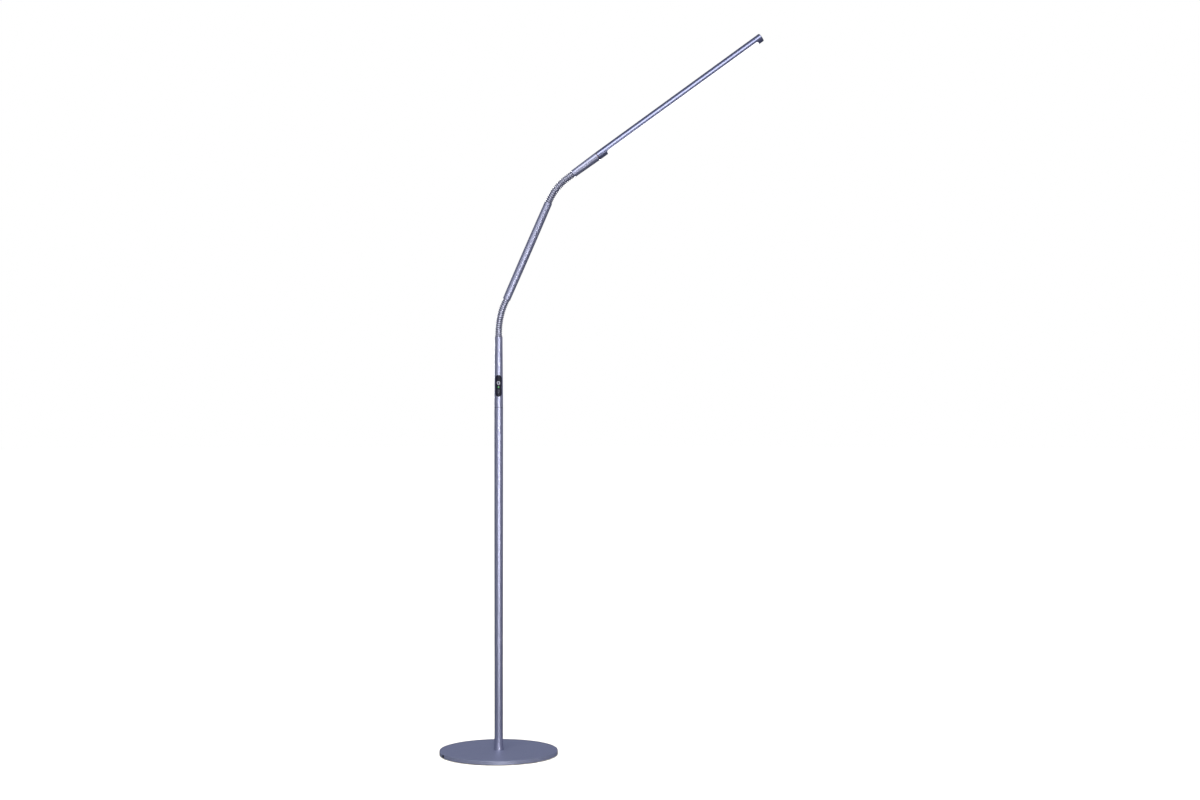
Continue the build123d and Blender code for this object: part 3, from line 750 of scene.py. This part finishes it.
def pad_section():
    """Half-section of the base's pad: round edge, and grip grooves underneath."""
    low, high = (corner[2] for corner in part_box("base_pad"))
    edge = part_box("base_pad")[1][0]
    turn_in = edge - PAD_EDGE
    points = arc((turn_in, low + PAD_EDGE), PAD_EDGE, -math.pi / 2, 0, PAD_EDGE_STEPS)
    points += arc((turn_in, high - PAD_EDGE), PAD_EDGE, 0, math.pi / 2, PAD_EDGE_STEPS)
    points += [(PAD_BORE, high), (PAD_BORE, low)]
    floor = low + PAD_GROOVE_DEPTH
    for groove in range(1, int((edge - PAD_BORE) / PAD_GROOVE_PITCH)):
        inner = PAD_BORE + groove * PAD_GROOVE_PITCH
        outer = inner + PAD_GROOVE_WIDTH
        points += [(inner, low), (inner, floor), (outer, floor), (outer, low)]
    return points


def make_base_pad(lathe):
    """Moulded rubber pad with concentric grip grooves on its underside."""
    pad = turn("grooved_pad", lathe, pad_section(), PAD_SIDES, rubber)
    place_piece(pad, "grooved_base_pad", Vector(), UPRIGHT, "stand", "rubber", "base_pad")


# ---------------------------------------------------------------- printed marks

MARK_STROKE = 0.4 * MM
MARK_PROUD = 0.03 * MM
MARK_SUNK = 0.06 * MM


def stroke_rings(points, closed, surface):
    """Four corners of a stroke's section at each of its points, on a bowed surface."""
    count = len(points)
    rings = []
    for place, point in enumerate(points):
        before = points[place - 1] if closed or place > 0 else point
        after = points[(place + 1) % count] if closed or place + 1 < count else point
        side = (after - before).normalized().orthogonal() * MARK_STROKE / 2
        rings.append(
            [
                surface(point + side, MARK_PROUD),
                surface(point - side, MARK_PROUD),
                surface(point - side, -MARK_SUNK),
                surface(point + side, -MARK_SUNK),
            ]
        )
    return rings


def print_mark(name, body, button, strokes):
    """Ink strokes on a button's bowed face; each is a line of points about its centre."""
    low, high = (Vector(corner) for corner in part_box(button))
    centre = (low + high) / 2
    face_radius = -low.y
    drawn = bmesh.new()

    def surface(point, lift):
        x, z = point
        depth = math.sqrt(face_radius**2 - x**2) + lift
        return drawn.verts.new((centre.x + x, -depth, centre.z + z))

    for points, closed in strokes:
        rings = stroke_rings([Vector(point) for point in points], closed, surface)
        following = rings[1:] + rings[:1] if closed else rings[1:]
        for here, there in zip(rings, following):
            for side in range(len(here)):
                beside = (side + 1) % len(here)
                drawn.faces.new((here[side], here[beside], there[beside], there[side]))
        if not closed:
            drawn.faces.new(rings[0])
            drawn.faces.new(rings[-1][::-1])
    bmesh.ops.recalc_face_normals(drawn, faces=drawn.faces)
    mesh = bpy.data.meshes.new(name)
    drawn.to_mesh(mesh)
    drawn.free()
    mesh.materials.append(ink)
    mark = bpy.data.objects.new(name, mesh)
    bpy.context.scene.collection.objects.link(mark)
    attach(mark, body)


def make_marks():
    """The usual power sign on the round button, and up and down triangles on the dimmer."""
    ring_radius, ring_steps = 1.1 * MM, 24
    opening = math.radians(35)
    bar_foot, bar_top = 0.2 * MM, 1.4 * MM
    ring = [
        (across, up)
        for up, across in arc((0, 0), ring_radius, opening, 2 * math.pi - opening, ring_steps)
    ]
    bar = [(0, bar_foot), (0, bar_top)]
    print_mark("power_sign", "power_button", "power_button", [(ring, False), (bar, False)])
    half_width, near, far = 1.0 * MM, 1.6 * MM, 3.0 * MM
    brighter = [(-half_width, near), (half_width, near), (0, far)]
    dimmer = [(-half_width, -near), (half_width, -near), (0, -far)]
    print_mark("dimmer_signs", "dimmer_button", "dimmer_button", [(brighter, True), (dimmer, True)])


bpy.context.scene.view_settings.view_transform = "Standard"
make_camera()
make_world()
make_floor()
make_tent()
make_gobo()
for softbox_name, setting in SOFTBOXES.items():
    make_softbox(softbox_name, *setting)
finish_nodes()
lathe = turning_tree()
make_neck_links(lathe)
make_base_pad(lathe)
make_marks()
